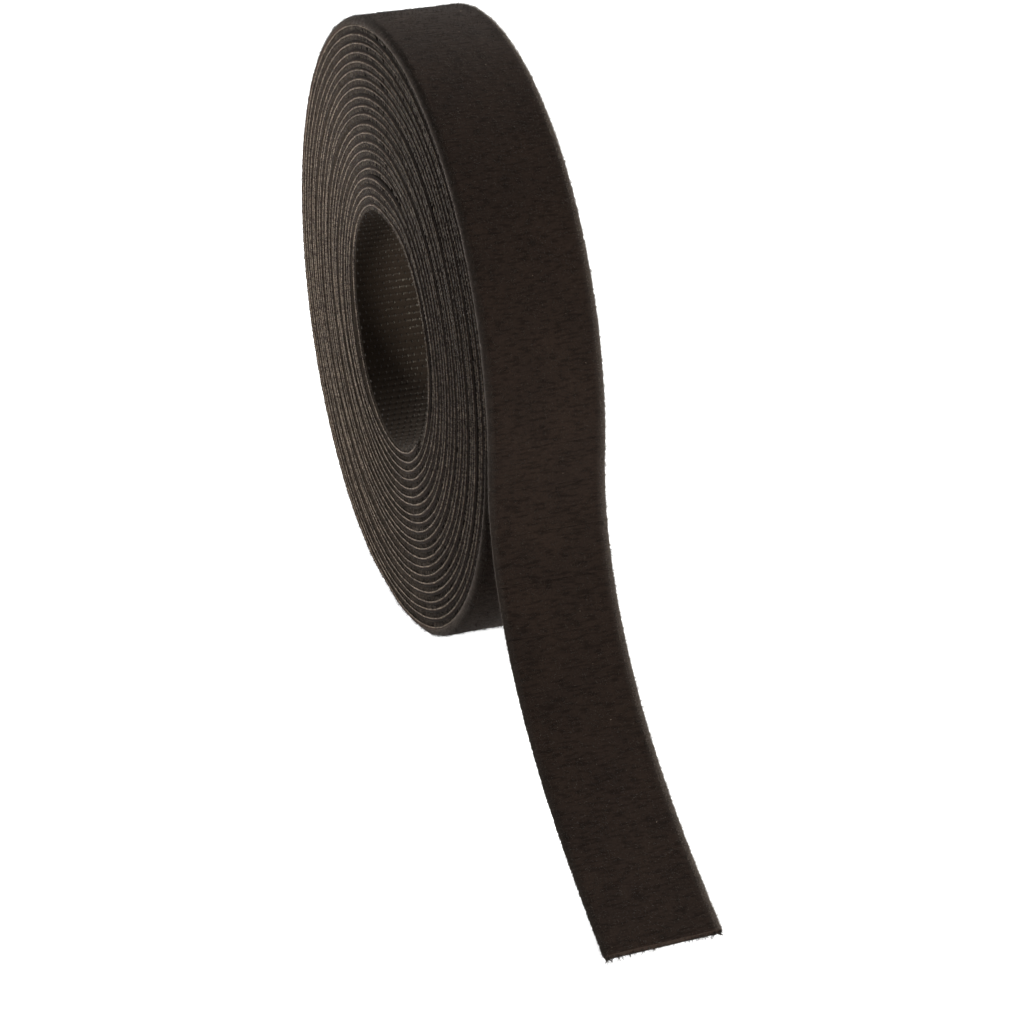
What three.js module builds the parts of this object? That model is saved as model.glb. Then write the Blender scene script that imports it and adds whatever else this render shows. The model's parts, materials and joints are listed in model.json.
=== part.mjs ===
// A roll of hook and loop tape, wound on itself with no core. Its free end leaves the roll at the
// front, curves away from it and rests on the table.
//
// The tape is two woven tapes bonded back to back: the loop tape with its pile faces out, the hook
// tape faces in, and the hooks of each turn hold the pile of the next turn in.
//
// Millimetres and degrees. X is the roll's axis, the free end points to -Y and +Z is up. The origin
// is on the table, straight below the axis, on the flat that the roll stands on.

import * as THREE from 'three';

// The tape
const tapeWidth = 20;
const loopThickness = 0.72;
const hookThickness = 0.37;
const hookHeight = 0.46;

// The roll: its radius is that of the pile where the free end leaves it
const outerRadius = 54.6;
const turnCount = 20.87;
const leaveAngle = 3.2;
const facetsPerTurn = 24;
const flatDepth = 0.5;

// The innermost turn hangs into the bore between two angles, counted from its cut end
const slackDepth = 1.6;
const slackStart = 5;
const slackEnd = 200;

// The free end, measured along its pile: links of tape, each a little longer than the one before
const tailLength = 86;
const tailLinks = 9;
const linkGap = 0.4;
const linkGrowthShare = 0.6;

// The share of its curvature that the free end has lost when it reaches its cut end
const tailFadeShare = 0.93;

// How finely the free end's curve is summed, and how often its bend is halved towards the table
const curveSteps = 240;
const bendHalvings = 40;

// Angles on the roll count from its front, over its top
const fullTurn = 360;
const bottomAngle = 270;
const pitch = loopThickness + hookThickness + hookHeight;

// The roll's facets: one lies flat on the table below the axis, and the inner end is a facet's end
const facetAngle = fullTurn / facetsPerTurn;
const firstFacetEnd = ( bottomAngle - leaveAngle + facetAngle / 2 ) % facetAngle || facetAngle;
const facetCount = Math.round( ( turnCount * fullTurn - firstFacetEnd ) / facetAngle );
const woundAngle = firstFacetEnd + facetCount * facetAngle;
const axisHeight = radiusAt( bottomAngle - leaveAngle ) - flatDepth;

const loopMaterial = new THREE.MeshStandardMaterial( { color: 0x2c2522, roughness: 0.95, metalness: 0 } );
const hookMaterial = new THREE.MeshStandardMaterial( { color: 0x4b433e, roughness: 0.8, metalness: 0 } );


// The roll

// How far the innermost turn hangs into the bore, at an angle counted from where the tape leaves
function slackAt( wound ) {

	const share = ( woundAngle - wound - slackStart ) / ( slackEnd - slackStart );
	return share > 0 && share < 1 ? slackDepth * Math.sin( Math.PI * share ) ** 2 : 0;

}

// The radius of the pile's surface there
function radiusAt( wound ) {

	return outerRadius - pitch * wound / fullTurn - slackAt( wound );

}

// The angles at which the roll's facets end, from where the tape leaves to its inner end
function facetAngles() {

	const ends = Array.from( { length: facetCount + 1 }, ( _, facet ) => firstFacetEnd + facet * facetAngle );
	return [ 0, ...ends ];

}

// One line of the spiral, this far under the pile's surface. Lines are drawn in the plane across
// the roll: the x of a point is the part's Y, and its y is the part's Z.
function spiralLine( depth ) {

	return facetAngles().map( wound => {

		const angle = THREE.MathUtils.degToRad( leaveAngle + wound );
		const radius = radiusAt( wound ) - depth;
		const height = axisHeight + radius * Math.sin( angle );
		return new THREE.Vector2( - radius * Math.cos( angle ), Math.max( height, 0 ) );

	} );

}

// A closed band as wide as the tape, between an outer and an inner line of the same length
function bandGeometry( outerLine, innerLine ) {

	const side = tapeWidth / 2;
	const positions = [];
	const faces = [];

	outerLine.forEach( ( outer, row ) => {

		const inner = innerLine[ row ];
		positions.push( - side, outer.x, outer.y, side, outer.x, outer.y );
		positions.push( side, inner.x, inner.y, - side, inner.x, inner.y );

	} );

	for ( let row = 1; row < outerLine.length; row ++ ) {

		for ( let corner = 0; corner < 4; corner ++ ) {

			const next = ( corner + 1 ) % 4;
			const [ a, b ] = [ 4 * ( row - 1 ) + corner, 4 * ( row - 1 ) + next ];
			const [ c, d ] = [ 4 * row + next, 4 * row + corner ];
			faces.push( a, b, c, a, c, d );

		}

	}

	const last = 4 * ( outerLine.length - 1 );
	faces.push( 0, 2, 1, 0, 3, 2 );
	faces.push( last, last + 1, last + 2, last, last + 2, last + 3 );

	const geometry = new THREE.BufferGeometry();
	geometry.setAttribute( 'position', new THREE.Float32BufferAttribute( positions, 3 ) );
	geometry.setIndex( faces );
	geometry.computeVertexNormals();
	return geometry;

}

// The distance from a point to a straight stretch between two others
function distanceTo( point, from, to ) {

	const along = to.clone().sub( from );
	const share = THREE.MathUtils.clamp( point.clone().sub( from ).dot( along ) / along.lengthSq(), 0, 1 );
	return point.distanceTo( from.clone().addScaledVector( along, share ) );

}

// The least gap between the inner face of one turn and the outer face of the next turn in
function leastGap( outerLine, innerLine ) {

	let least = Infinity;
	const halfTurn = facetsPerTurn / 2;

	innerLine.forEach( ( point, row ) => {

		for ( let next = row + halfTurn; next < outerLine.length - 1; next ++ ) {

			least = Math.min( least, distanceTo( point, outerLine[ next ], outerLine[ next + 1 ] ) );

		}

	} );

	outerLine.forEach( ( point, row ) => {

		for ( let next = 0; next < row - halfTurn; next ++ ) {

			least = Math.min( least, distanceTo( point, innerLine[ next ], innerLine[ next + 1 ] ) );

		}

	} );

	return least;

}

function makeRoll() {

	const pileLine = spiralLine( 0 );
	const bondLine = spiralLine( loopThickness );
	const hookLine = spiralLine( loopThickness + hookThickness );

	console.log( 'least gap of the wound tape to itself:', leastGap( pileLine, hookLine ).toFixed( 3 ), 'mm' );
	console.log( 'least gap of the loop tape to itself:', leastGap( pileLine, bondLine ).toFixed( 3 ), 'mm' );
	console.log( 'least gap of the hook tape to itself:', leastGap( bondLine, hookLine ).toFixed( 3 ), 'mm' );

	const roll = new THREE.Group();
	roll.add( namedMesh( 'wound_loop_tape', bandGeometry( pileLine, bondLine ), loopMaterial ) );
	roll.add( namedMesh( 'wound_hook_tape', bandGeometry( bondLine, hookLine ), hookMaterial ) );
	return roll;

}


// The free end

// How far the tape points away from straight down, at a share of the free end, for its whole bend
function headingAt( share, bend ) {

	const bent = ( share - tailFadeShare * share ** 2 / 2 ) / ( 1 - tailFadeShare / 2 );
	return THREE.MathUtils.degToRad( leaveAngle + bend * bent );

}

// The line of the pile's surface, from where the tape leaves the roll to its cut end
function pileCurve( bend ) {

	const angle = THREE.MathUtils.degToRad( leaveAngle );
	const stride = tailLength / curveSteps;
	const point = new THREE.Vector2( - Math.cos( angle ), Math.sin( angle ) ).multiplyScalar( outerRadius );
	point.y += axisHeight;
	const points = [ point.clone() ];

	for ( let step = 0; step < curveSteps; step ++ ) {

		const heading = headingAt( ( step + 1 / 2 ) / curveSteps, bend );
		point.x -= stride * Math.sin( heading );
		point.y -= stride * Math.cos( heading );
		points.push( point.clone() );

	}

	return points;

}

// How high the hooks under the cut end stand over the table
function tipClearance( bend ) {

	return pileCurve( bend ).at( - 1 ).y - pitch * Math.sin( headingAt( 1, bend ) );

}

// The bend with which the hooks under the cut end just stand on the table
function restingBend() {

	let low = 0;
	let high = fullTurn / 2;

	for ( let halving = 0; halving < bendHalvings; halving ++ ) {

		const middle = ( low + high ) / 2;
		if ( tipClearance( middle ) > 0 ) high = middle;
		else low = middle;

	}

	return low;

}

// The places of the hinges, half a gap past where the roll ends and then at every link's end
function hingeDistances() {

	const weights = Array.from( { length: tailLinks }, ( _, link ) => 1 + linkGrowthShare * link / tailLinks );
	const whole = weights.reduce( ( sum, weight ) => sum + weight, 0 );
	const distances = [ linkGap / 2 ];
	for ( const weight of weights ) {

		distances.push( distances.at( - 1 ) + ( tailLength - linkGap / 2 ) * weight / whole );

	}

	return distances;

}

// A point of the curve at a distance along it
function pointOn( curve, distance ) {

	const place = distance / tailLength * curveSteps;
	const before = Math.min( Math.floor( place ), curveSteps - 1 );
	return curve[ before ].clone().lerp( curve[ before + 1 ], place - before );

}

// One tape of one link, between two depths under its pile, hanging down from the link's hinge
function slabGeometry( top, bottom, start, end ) {

	const geometry = new THREE.BoxGeometry( tapeWidth, bottom - top, end - start );
	return geometry.translate( 0, ( top + bottom ) / 2, - ( start + end ) / 2 );

}

// The chain of links. Each link's group turns about a line on its pile, which is the inside of the
// bend, and carries the next link.
function makeTail() {

	const tail = new THREE.Group();
	const curve = pileCurve( restingBend() );
	const hinges = hingeDistances().map( distance => pointOn( curve, distance ) );
	let carrier = tail;
	let carrierHeading = 0;
	let place = new THREE.Vector3( 0, hinges[ 0 ].x, hinges[ 0 ].y );

	for ( let link = 1; link <= tailLinks; link ++ ) {

		const chord = hinges[ link ].clone().sub( hinges[ link - 1 ] );
		const heading = Math.atan2( - chord.x, - chord.y );
		const start = linkGap / 2;
		const end = chord.length() - ( link < tailLinks ? linkGap / 2 : 0 );
		const loopSlab = slabGeometry( 0, loopThickness, start, end );
		const hookSlab = slabGeometry( loopThickness, loopThickness + hookThickness, start, end );

		const group = new THREE.Group();
		group.position.copy( place );
		group.rotation.x = carrierHeading - heading;
		group.add( namedMesh( `tail_loop_${ link }`, loopSlab, loopMaterial ) );
		group.add( namedMesh( `tail_hook_${ link }`, hookSlab, hookMaterial ) );
		carrier.add( group );

		carrier = group;
		carrierHeading = heading;
		place = new THREE.Vector3( 0, 0, - chord.length() );

	}

	return tail;

}

function namedMesh( name, geometry, material ) {

	const mesh = new THREE.Mesh( geometry, material );
	mesh.name = name;
	return mesh;

}

const tapeRoll = new THREE.Group();
tapeRoll.add( makeRoll() );
tapeRoll.add( makeTail() );

export default tapeRoll;
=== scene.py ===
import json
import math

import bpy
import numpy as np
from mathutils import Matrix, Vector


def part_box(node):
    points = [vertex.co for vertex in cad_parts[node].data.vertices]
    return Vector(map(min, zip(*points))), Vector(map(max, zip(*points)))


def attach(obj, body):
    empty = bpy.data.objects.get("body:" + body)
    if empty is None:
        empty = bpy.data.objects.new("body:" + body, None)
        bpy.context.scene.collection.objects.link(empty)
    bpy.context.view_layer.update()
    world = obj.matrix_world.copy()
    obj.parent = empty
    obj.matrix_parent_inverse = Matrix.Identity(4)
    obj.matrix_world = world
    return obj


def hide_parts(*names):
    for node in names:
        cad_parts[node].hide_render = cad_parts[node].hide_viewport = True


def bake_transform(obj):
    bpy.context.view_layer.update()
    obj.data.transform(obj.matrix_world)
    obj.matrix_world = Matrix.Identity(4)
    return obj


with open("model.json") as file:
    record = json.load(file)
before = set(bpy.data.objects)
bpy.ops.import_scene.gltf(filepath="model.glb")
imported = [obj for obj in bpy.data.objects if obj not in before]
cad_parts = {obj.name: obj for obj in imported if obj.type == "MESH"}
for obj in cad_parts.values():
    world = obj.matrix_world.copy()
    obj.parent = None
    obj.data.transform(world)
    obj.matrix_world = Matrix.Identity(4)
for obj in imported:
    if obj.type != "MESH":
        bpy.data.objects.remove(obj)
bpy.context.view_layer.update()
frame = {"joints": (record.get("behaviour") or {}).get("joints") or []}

# A roll of hook and loop tape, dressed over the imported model. Metres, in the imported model's frame:
# X along the roll's axis, the free end towards -Y, +Z up and the table at 0.
#
# Everything on the tape is placed in tape coordinates: how far along the tape it lies from where
# the free end leaves the roll, wound turns counting down from 0 and the free end up from 0, how far
# across the tape, and how deep under the tips of the pile.

MM = 0.001
TURN = 2 * math.pi
PATH_STEP = 0.1 * MM

# The tape, from the tips of its pile down to the tips of its hooks
PILE_HEIGHT = 0.42 * MM
LOOP_THICKNESS = 0.72 * MM
HOOK_THICKNESS = 0.37 * MM
HOOK_HEIGHT = 0.46 * MM
GROUND_BOTTOM = LOOP_THICKNESS + HOOK_THICKNESS
PITCH = GROUND_BOTTOM + HOOK_HEIGHT

# The roll and its free end
ROLL_LOW, ROLL_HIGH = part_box("wound_loop_tape")
TAPE_WIDTH = ROLL_HIGH.x - ROLL_LOW.x
OUTER_RADIUS = 54.6 * MM
TURN_COUNT = 20.887
LEAVE_ANGLE = math.radians(3.2)
BOTTOM_ANGLE = 3 / 4 * TURN
FLAT_DEPTH = 0.5 * MM
PRESSED_REACH = TURN / 8
SLACK_DEPTH = 1.6 * MM
SLACK_START = math.radians(5)
SLACK_END = math.radians(200)
TAIL_LENGTH = 86 * MM
TAIL_FADE_SHARE = 0.93
BEND_HALVINGS = 40
WOUND_ANGLE = TURN_COUNT * TURN
AXIS_HEIGHT = OUTER_RADIUS - PITCH * (BOTTOM_ANGLE - LEAVE_ANGLE) / TURN - FLAT_DEPTH

# The cut end is a little short and not quite square
CUT_BACK = 0.95 * MM
CUT_SLANT = 0.5 * MM
CUT_REACH = 12 * MM

# How unevenly the tape was wound: waves of the radius and of the sideways place of its turns, each
# wave by its rate and its start
WAVES = ((0.31, 0.4), (0.77, 2.1), (1.43, 4.0), (2.61, 1.3), (3.9, 5.2))
RADIAL_WAVE = 0.035 * MM
SIDEWAYS_WAVE = 0.06 * MM
SIDEWAYS_SHIFT = 2

# The innermost turns sag into the bore near its top
SAG_DEPTH = 1.1 * MM
SAG_ANGLE = math.radians(94)
SAG_REACH = math.radians(20)
SAG_TURNS = 4.5

# The ridges of the hooks' ground, which carry the rows of hooks
RIDGE_HEIGHT = 0.13 * MM
RIDGE_FOOT = 0.03 * MM


# The line of the pile's tips

def angle_off(angle, target):
    """The angle past a target, from minus to plus half a turn."""
    return (angle - target + TURN / 2) % TURN - TURN / 2


def slack_at(wound):
    """How far the innermost turn stands away from the turn round it."""
    share = (WOUND_ANGLE - wound - SLACK_START) / (SLACK_END - SLACK_START)
    inside = (share > 0) & (share < 1)
    return np.where(inside, SLACK_DEPTH * np.sin(math.pi * share) ** 2, 0)


def sag_at(wound):
    """How far the innermost turns sag into the bore."""
    inward = np.clip(((WOUND_ANGLE - wound) / TURN + 1) / (SAG_TURNS + 1), 0, 1)
    off = angle_off(wound + LEAVE_ANGLE, SAG_ANGLE)
    return SAG_DEPTH * np.sin(math.pi * inward) * np.exp(-(off / SAG_REACH) ** 2)


def unevenness(wound, shift=0):
    """A smooth uneven value along the winding, 0 on the first half turn, where the free end leaves."""
    grown = np.clip(wound / (TURN / 2) - 1, 0, 1)
    return grown * sum(np.sin(rate * wound + start + shift) for rate, start in WAVES)


def radius_at(wound):
    """How far the tips of the pile are from the roll's axis."""
    even = OUTER_RADIUS - PITCH * wound / TURN
    return even - slack_at(wound) - sag_at(wound) + RADIAL_WAVE * unevenness(wound)


def wound_path():
    """Distance along the tape and wound angle, in steps from the inner end to where the tape leaves."""
    wound = np.linspace(WOUND_ANGLE, 0, int(WOUND_ANGLE * OUTER_RADIUS / PATH_STEP))
    radius = radius_at(wound)
    strides = -np.diff(wound) * (radius[1:] + radius[:-1]) / 2
    along = np.concatenate([[0], np.cumsum(strides)])
    return along - along[-1], wound


def tail_path(bend):
    """Distance along the free end, its place across the roll and its heading from straight down."""
    along = np.linspace(0, TAIL_LENGTH, int(TAIL_LENGTH / PATH_STEP) + 1)
    share = along / TAIL_LENGTH
    heading = LEAVE_ANGLE + bend * (share - TAIL_FADE_SHARE * share ** 2 / 2) / (1 - TAIL_FADE_SHARE / 2)
    middle = (heading[1:] + heading[:-1]) / 2
    stride = along[1] - along[0]
    y = -OUTER_RADIUS * math.cos(LEAVE_ANGLE) - np.concatenate([[0], np.cumsum(np.sin(middle))]) * stride
    z = -np.concatenate([[0], np.cumsum(np.cos(middle))]) * stride
    return along, y, z + AXIS_HEIGHT + OUTER_RADIUS * math.sin(LEAVE_ANGLE), heading


def resting_bend():
    """The bend with which the hooks under the cut end stand on the table."""
    low, high = 0, math.pi
    for _ in range(BEND_HALVINGS):
        middle = (low + high) / 2
        _, _, z, heading = tail_path(middle)
        if z[-1] - PITCH * math.sin(heading[-1]) > 0:
            high = middle
        else:
            low = middle
    return low


WOUND_ALONG, WOUND_AT = wound_path()
TAIL_ALONG, TAIL_Y, TAIL_Z, TAIL_HEADING = tail_path(resting_bend())
INNER_END = WOUND_ALONG[0]


def along_at(wound):
    """The distance along the tape at a wound angle."""
    return float(np.interp(wound, WOUND_AT[::-1], WOUND_ALONG[::-1]))


def place(along, across, depth):
    """Points in space for points in tape coordinates."""
    along, across, depth = np.broadcast_arrays(along, across, depth)
    cut_share = np.maximum((along - TAIL_LENGTH) / CUT_REACH + 1, 0) ** 2
    along = along - cut_share * (CUT_BACK + CUT_SLANT * across / TAPE_WIDTH)
    wound = np.interp(along, WOUND_ALONG, WOUND_AT)
    angle = wound + LEAVE_ANGLE
    from_bottom = np.abs(angle_off(angle, BOTTOM_ANGLE))
    reach = AXIS_HEIGHT / np.cos(np.minimum(from_bottom, PRESSED_REACH))
    radius = radius_at(wound)
    pressed = np.where(from_bottom < PRESSED_REACH, np.maximum(radius - reach, 0), 0)
    pressed = pressed * np.clip(1 - depth / PITCH, 0, 1)
    radius = radius - depth - pressed
    on_roll = np.stack([across + SIDEWAYS_WAVE * unevenness(wound, SIDEWAYS_SHIFT),
                        -radius * np.cos(angle),
                        AXIS_HEIGHT + radius * np.sin(angle)], -1)
    heading = np.interp(along, TAIL_ALONG, TAIL_HEADING)
    past = np.maximum(along - TAIL_LENGTH, 0)
    tail_y = np.interp(along, TAIL_ALONG, TAIL_Y)
    tail_z = np.interp(along, TAIL_ALONG, TAIL_Z)
    on_tail = np.stack([across,
                        tail_y + depth * np.cos(heading) - past * np.sin(heading),
                        tail_z - depth * np.sin(heading) - past * np.cos(heading)], -1)
    return np.where((along < 0)[..., None], on_roll, on_tail)


# Even noise, the same in every run and across every seam
LATTICE_RATES = (127.1, 311.7, 74.7)
LATTICE_SPREAD = 43758.5453
GROOVE_SEED, FLUFF_SEED, LUMP_SEED, RAGGED_SEED = 1, 2, 3, 4
BEAD_SEED, WANDER_SEED, RIDGE_SEED = 5, 7, 9
HOOK_SEEDS = (11, 12, 13, 14)
STITCH_SEEDS = (61, 63, 65)


def lattice(i, j, seed):
    """A number from 0 to 1 for each whole pair i, j."""
    mixed = np.sin(i * LATTICE_RATES[0] + j * LATTICE_RATES[1] + seed * LATTICE_RATES[2]) * LATTICE_SPREAD
    return mixed - np.floor(mixed)


def smooth_noise(u, v, seed):
    """Values from 0 to 1 that run smoothly from each whole pair to the next."""
    i, j = np.floor(u), np.floor(v)
    a, b = u - i, v - j
    a, b = a * a * (3 - 2 * a), b * b * (3 - 2 * b)
    near = lattice(i, j, seed) * (1 - b) + lattice(i, j + 1, seed) * b
    far = lattice(i + 1, j, seed) * (1 - b) + lattice(i + 1, j + 1, seed) * b
    return near * (1 - a) + far * a


# Meshes

def new_piece(name, points, tape_places, faces, materials):
    """An object from points and from groups of faces: their corners, their slots and if they are ends."""
    mesh = bpy.data.meshes.new(name)
    corners = np.concatenate([group.ravel() for group, _, _ in faces])
    sizes = np.concatenate([np.full(len(group), group.shape[1]) for group, _, _ in faces])
    starts = np.concatenate([[0], np.cumsum(sizes)[:-1]])
    slots = np.concatenate([slots for _, slots, _ in faces])
    ends = np.concatenate([np.full(len(group), end) for group, _, end in faces])
    mesh.vertices.add(len(points))
    mesh.loops.add(len(corners))
    mesh.polygons.add(len(sizes))
    mesh.vertices.foreach_set("co", points.astype(np.float32).ravel())
    mesh.loops.foreach_set("vertex_index", corners.astype(np.int32))
    mesh.polygons.foreach_set("loop_start", starts.astype(np.int32))
    mesh.polygons.foreach_set("material_index", slots.astype(np.int32))
    mesh.attributes.new("sharp_face", "BOOLEAN", "FACE").data.foreach_set("value", ends)
    places = mesh.attributes.new("tape_place", "FLOAT_VECTOR", "POINT")
    places.data.foreach_set("vector", (tape_places / MM).astype(np.float32).ravel())
    mesh.update(calc_edges=True)
    mesh.validate()
    for material in materials:
        mesh.materials.append(material)
    piece = bpy.data.objects.new(name, mesh)
    bpy.context.scene.collection.objects.link(piece)
    return piece


# No point lies lower than the table
TABLE = (-np.inf, -np.inf, 0)
NEARLY_SIDEWAYS = 0.9

# The thinnest fibres have three sides
THIN_SIDES = 3


class Shape:
    """Closed bodies in tape coordinates, gathered until they become one piece."""

    def __init__(self):
        self.points, self.places, self.faces, self.count = [], [], [], 0

    def add(self, along, across, depth, sides, side_slots, ends, end_slot, points=None):
        places = np.stack(np.broadcast_arrays(along, across, depth), -1).reshape(-1, 3)
        points = place(*places.T) if points is None else points.reshape(-1, 3)
        self.points.append(np.maximum(points, TABLE))
        self.places.append(places)
        self.faces.append((sides + self.count, np.broadcast_to(side_slots, len(sides)), False))
        self.faces.append((ends + self.count, np.full(len(ends), end_slot), True))
        self.count += len(places)

    def sweep(self, along, across, depth, column_slots, end_slot):
        """A closed band: rows along the tape, and columns round its section from top to right."""
        rows, columns = np.broadcast_shapes((len(along), 1), across.shape, depth.shape)
        index = np.arange(rows * columns).reshape(rows, columns)
        right = np.roll(index, -1, axis=1)
        quads = np.stack([index[:-1], right[:-1], right[1:], index[1:]], -1).reshape(-1, 4)
        ends = np.stack([index[0][::-1], index[-1]])
        self.add(along[:, None], across, depth, quads, np.tile(column_slots, rows - 1), ends, end_slot)

    def strands(self, along, across, depth, radius, sides, slot):
        """Thin tubes: each row of the arrays holds the tape coordinates of one tube's middle line."""
        middle = place(along, across, depth)
        count, steps = middle.shape[:2]
        tangent = np.gradient(middle, axis=1)
        tangent /= np.linalg.norm(tangent, axis=-1, keepdims=True)
        level = np.where(np.abs(tangent[:, :1, :1]) > NEARLY_SIDEWAYS, [0.0, 1.0, 0.0], [1.0, 0.0, 0.0])
        side = np.cross(tangent, level)
        side /= np.linalg.norm(side, axis=-1, keepdims=True)
        other = np.cross(tangent, side)
        turn = np.arange(sides)[:, None] * TURN / sides
        ring = side[:, :, None] * np.cos(turn) + other[:, :, None] * np.sin(turn)
        points = middle[:, :, None] + ring * np.broadcast_to(radius, (count, steps))[:, :, None, None]
        index = np.arange(count * steps * sides).reshape(count, steps, sides)
        right = np.roll(index, -1, axis=2)
        quads = np.stack([index[:, :-1], right[:, :-1], right[:, 1:], index[:, 1:]], -1).reshape(-1, 4)
        ends = np.concatenate([index[:, 0, ::-1], index[:, -1]])
        round_it = np.zeros(sides)
        along, across, depth = np.broadcast_arrays(along, across, depth)
        self.add(along[..., None] + round_it, across[..., None] + round_it, depth[..., None] + round_it,
                 quads, slot, ends, slot, points)

    def piece(self, name, materials):
        points = np.concatenate(self.points)
        places = np.concatenate(self.places)
        return new_piece(name, points, places, self.faces, materials)


# Materials. tape_place gives each its tape coordinates, in millimetres.

SHEEN_ROUGHNESS = 0.3
SHEEN_TINT = (1.0, 0.92, 0.84)
MORE_RED = 0.48
LESS_BLUE = 0.24

# The noise that drives the looks
FLUFF = {"scale": 3.5, "detail": 4}
DASHES = {"stretch": (2.4, 0.5, 1), "detail": 3}
PATCHES = {"scale": 0.12}
WEAVE = {"stretch": (2.4, 2.4, 6), "scale": 1.4}
RIDGE_BEADS = {"stretch": (1.2, 2.6, 1), "detail": 1}
FLATTENED = {"stretch": (1, 1.6, 1), "scale": 0.2, "detail": 1}
THREAD_STRANDS = {"stretch": (2.6, 2.6, 2.6), "detail": 3}
WEAR = {"stretch": (0.45, 0.5, 0.9)}
FIBRES = {"scale": 2.0}

# Where noise is low and where it is high
NOISE_SPREAD = (0.3, 0.7)
DASH_SPREAD = (0.38, 0.5)
BEAD_SPREAD = (0.4, 0.7)
STRAND_SPREAD = (0.4, 0.6)
WEAR_SPREAD = (0.38, 0.62)
FLATTENED_SPREAD = (0.42, 0.56)

# The tones of each look where its noise is low and high: how light, how red and how yellow
PILE_TONES = ((0.0095, 1, 1), (0.015, 1, 1))
GROUND_TONES = ((0.014, 1, 1), (0.03, 1, 1))
THREAD_TONES = ((0.024, 0.8, 1.1), (0.115, 0.55, 0.95))
STITCH_TONES = ((0.012, 0.8, 1.1), (0.045, 0.55, 0.95))
FLAT_TONES = ((0.011, 1, 1.5), (0.016, 1, 1.5))
# The ridges' paler tones are a painted highlight
RIDGE_HIGHLIGHT_TONES = ((0.016, 0.8, 1), (0.125, 0.35, 1))
HOOK_TONES = ((0.016, 0.6, 1), (0.25, 0.25, 1))
FIBRE_TONES = ((0.008, 0.6, 1), (0.02, 0.6, 1))
# The haze's pale tones are a painted sheen
HAZE_SHEEN_TONES = ((0.06, 0.6, 1), (0.12, 0.6, 1))
LINT_TONES = ((0.15, 0.6, 1), (0.35, 0.6, 1))

# The pile has short dark dashes across the tape, painted shade in its grooves, and large faint patches, and
# threads are worn in places
DASH_SHADE_TINTS = ((0.6, 0.6, 0.6), (1, 1, 1))
PATCH_TINTS = ((0.88, 0.88, 0.9), (1.1, 1.07, 1.05))
WEAR_TINTS = ((0.7, 0.7, 0.7), (1.2, 1.18, 1.15))
DASH_HEIGHT_SHARE = 0.7

# The open pile is painted paler towards the edges of the tape, and most at its right edge: a painted sheen.
# The wound pile, which lies in the dark, is painted darker: painted shade.
PAINTED_SHEEN_TONE = (0.075, 0.4, 0.6)
PAINTED_SHEEN_FROM = 8.0 * MM
PAINTED_SHEEN_TO = 10.1 * MM
LEFT_PAINTED_SHEEN_FROM = 9.0 * MM
LEFT_PAINTED_SHEEN_SHARE = 0.25
WOUND_PAINTED_SHEEN_TONE = (0.01, 0.4, 0.6)
WOUND_PAINTED_SHADE_SHARE = 0.6

# The hooks are flattened in patches, and darker and duller there; towards the left edge they are painted
# darker and made duller, as painted shade. Each pair is for flattened or shaded hooks and for hooks that
# stand unshaded
FLATTENED_SHARES = (0.15, 1.0)
EDGE_SHADE_SHARES = (0.04, 1.0)
SHADED_EDGE_TO = -7.0 * MM
UNSHADED_FROM = 1.0 * MM
RIDGE_ROUGHNESS = (0.95, 0.45)
HOOK_ROUGHNESS = (0.9, 0.32)

# How high the finest relief is that the looks add
WEAVE_BUMP = 0.08 * MM
PILE_BUMP = 0.07 * MM
THREAD_BUMP = 0.05 * MM


def grey(level, red, yellow):
    """A grey with more red and less blue, by how red and how yellow it is."""
    return (level * (1 + MORE_RED * red), level, level * (1 - LESS_BLUE * yellow))


def greys(tones, share=1.0):
    return [grey(level * share, red, yellow) for level, red, yellow in tones]


def add_node(tree, kind, inputs=(), **settings):
    """A node in a node tree, with its settings, and with its inputs linked or set."""
    made = tree.nodes.new(kind)
    for name, value in settings.items():
        setattr(made, name, value)
    for name, value in dict(inputs).items():
        if isinstance(value, bpy.types.NodeSocket):
            tree.links.new(value, made.inputs[name])
        else:
            made.inputs[name].default_value = value
    return made


def combined(tree, first, second, operation):
    """One value out of two, by a math node."""
    return add_node(tree, "ShaderNodeMath", {0: first, 1: second}, operation=operation).outputs["Value"]


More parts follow.
